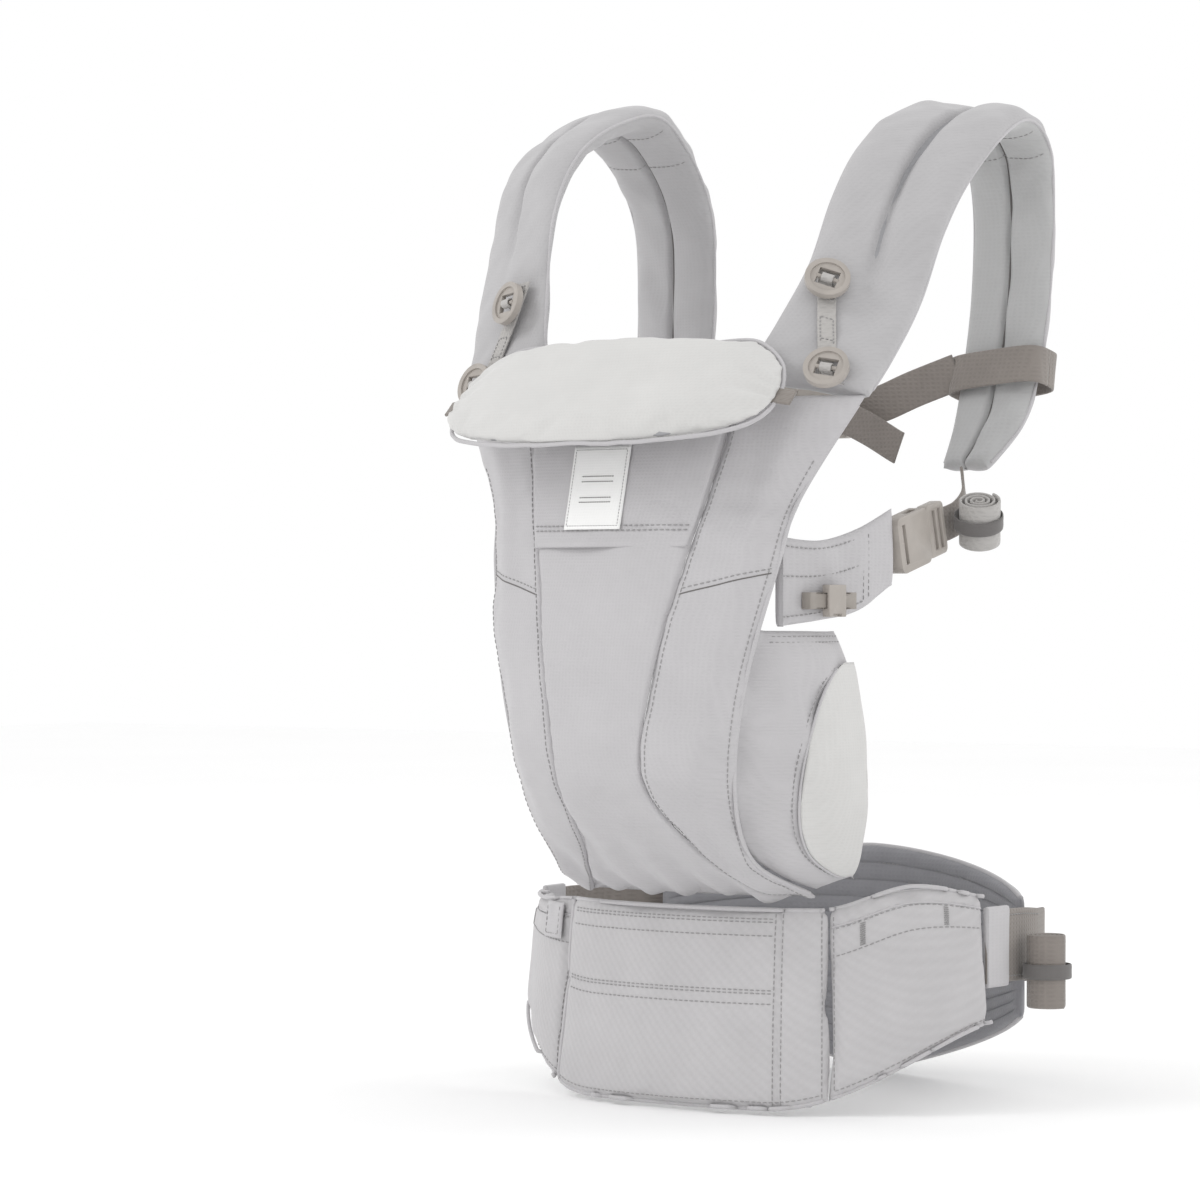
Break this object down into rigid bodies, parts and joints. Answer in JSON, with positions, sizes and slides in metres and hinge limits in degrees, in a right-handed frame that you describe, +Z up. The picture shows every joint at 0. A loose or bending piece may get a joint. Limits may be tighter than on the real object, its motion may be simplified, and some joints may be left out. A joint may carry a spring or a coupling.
{
  "type": "soft baby carrier",
  "caption": "Soft front-carry baby carrier standing on its padded waist belt, with arched shoulder straps, folded head pillow, buckles and ring buttons.",
  "frame": {"origin": "middle of the whole outline, on the surface that the waist belt stands on", "axes": "+Z up through the shoulder straps, -Y towards the outer front of the carrier, +X to the right when facing that front"},
  "size_m": [0.404, 0.4103, 0.6908],
  "materials": {
    "main_fabric": "plain-woven cotton, pearl grey",
    "lining_fabric": "soft off-white cotton jersey",
    "lumbar_fabric": "quilted mid-grey knit",
    "foam": "polyurethane foam, hidden",
    "webbing_light": "light grey polyester webbing",
    "webbing_dark": "warm dark grey polyester webbing",
    "hardware": "warm grey satin acetal",
    "label": "plain white woven label"
  },
  "bodies": {
    "root": {"belt_front_cover": "main_fabric", "belt_front_foam": "foam", "belt_pocket_flap": "main_fabric", "belt_wing_cover_left": "main_fabric", "belt_wing_cover_right": "main_fabric", "belt_wing_foam_left": "foam", "belt_wing_foam_right": "foam", "button_strip_left": "webbing_light", "button_strip_right": "webbing_light", "centre_panel": "main_fabric", "label_band": "main_fabric", "lumbar_cover": "lumbar_fabric", "lumbar_foam": "foam", "lumbar_webbing_loops": "lumbar_fabric", "seat_lining_left": "lining_fabric", "seat_lining_right": "lining_fabric", "seat_wing_left": "main_fabric", "seat_wing_right": "main_fabric", "shoulder_strap_cover_left": "main_fabric", "shoulder_strap_cover_right": "main_fabric", "shoulder_strap_foam_left": "foam", "shoulder_strap_foam_right": "foam", "side_panel_left": "main_fabric", "side_panel_right": "main_fabric", "underarm_buckle_female_left": "hardware", "underarm_buckle_female_right": "hardware", "underarm_track_left": "webbing_light", "underarm_track_right": "webbing_light", "underarm_webbing_left": "webbing_light", "underarm_webbing_right": "webbing_light", "underarm_wing_left": "main_fabric", "underarm_wing_right": "main_fabric", "waist_buckle_female": "hardware", "waist_tail_elastic": "webbing_dark", "waist_tail_roll": "webbing_dark", "waist_webbing_left": "webbing_light", "waist_webbing_right": "webbing_light", "woven_label": "label"},
    "pillow": {"pillow_cover": "lining_fabric", "pillow_foam": "foam", "pillow_tabs": "webbing_light"},
    "chest_strap": {"chest_webbing_right": "webbing_dark", "chest_webbing_left": "webbing_dark", "chest_buckle_female": "hardware", "chest_tail_tab": "webbing_dark"},
    "chest_male": {"chest_buckle_male": "hardware"},
    "waist_male": {"waist_buckle_male": "hardware"},
    "underarm_male_right": {"underarm_buckle_male_right": "hardware", "underarm_roll_right": "webbing_dark", "underarm_roll_elastic_right": "webbing_dark"},
    "underarm_male_left": {"underarm_buckle_male_left": "hardware", "underarm_roll_left": "webbing_dark", "underarm_roll_elastic_left": "webbing_dark"},
    "slider_right": {"underarm_slider_right": "hardware"},
    "slider_left": {"underarm_slider_left": "hardware"},
    "ring_upper_right": {"ring_button_upper_right": "hardware"},
    "ring_upper_left": {"ring_button_upper_left": "hardware"},
    "ring_lower_right": {"ring_button_lower_right": "hardware"},
    "ring_lower_left": {"ring_button_lower_left": "hardware"}
  },
  "joints": [
    {"name": "pillow_fold", "type": "hinge", "parent": "root", "child": "pillow", "pos_m": [-0.0235, -0.1208, 0.514], "axis": [-1, 0, 0], "range_deg": [0, 130]},
    {"name": "chest_height", "type": "slide", "parent": "root", "child": "chest_strap", "axis": [0, 0.1701, 0.9854], "range_m": [-0.012, 0.012]},
    {"name": "chest_unclip", "type": "slide", "parent": "chest_strap", "child": "chest_male", "axis": [-0.9893, -0.1461, 0], "range_m": [0, 0.026], "deforming": ["chest_webbing_left"]},
    {"name": "waist_unclip", "type": "slide", "parent": "root", "child": "waist_male", "axis": [-1, 0, 0], "range_m": [0, 0.026], "deforming": ["waist_webbing_left"]},
    {"name": "underarm_unclip_right", "type": "slide", "parent": "root", "child": "underarm_male_right", "axis": [0, 0.9703, 0.2419], "range_m": [0, 0.022], "deforming": ["underarm_webbing_right"]},
    {"name": "slider_right_travel", "type": "slide", "parent": "root", "child": "slider_right", "axis": [0.2079, 0.9781, 0], "range_m": [-0.008, 0.006]},
    {"name": "ring_upper_right_tilt", "type": "hinge", "parent": "root", "child": "ring_upper_right", "pos_m": [0.10298, -0.08528, 0.55], "axis": [0.8638, 0.3962, -0.3113], "range_deg": [-10, 10]},
    {"name": "ring_lower_right_tilt", "type": "hinge", "parent": "root", "child": "ring_lower_right", "pos_m": [0.12001, -0.11475, 0.48987], "axis": [0.9593, 0.2333, -0.1592], "range_deg": [-10, 10]},
    {"name": "underarm_unclip_left", "type": "slide", "parent": "root", "child": "underarm_male_left", "axis": [0, 0.9703, 0.2419], "range_m": [0, 0.022], "deforming": ["underarm_webbing_left"]},
    {"name": "slider_left_travel", "type": "slide", "parent": "root", "child": "slider_left", "axis": [-0.2079, 0.9781, 0], "range_m": [-0.008, 0.006]},
    {"name": "ring_upper_left_tilt", "type": "hinge", "parent": "root", "child": "ring_upper_left", "pos_m": [-0.136, -0.11134, 0.54202], "axis": [-0.9344, 0.3405, -0.1045], "range_deg": [-10, 10]},
    {"name": "ring_lower_left_tilt", "type": "hinge", "parent": "root", "child": "ring_lower_left", "pos_m": [-0.15796, -0.11896, 0.4868], "axis": [-0.975, 0.2106, -0.0714], "range_deg": [-10, 10]}
  ]
}
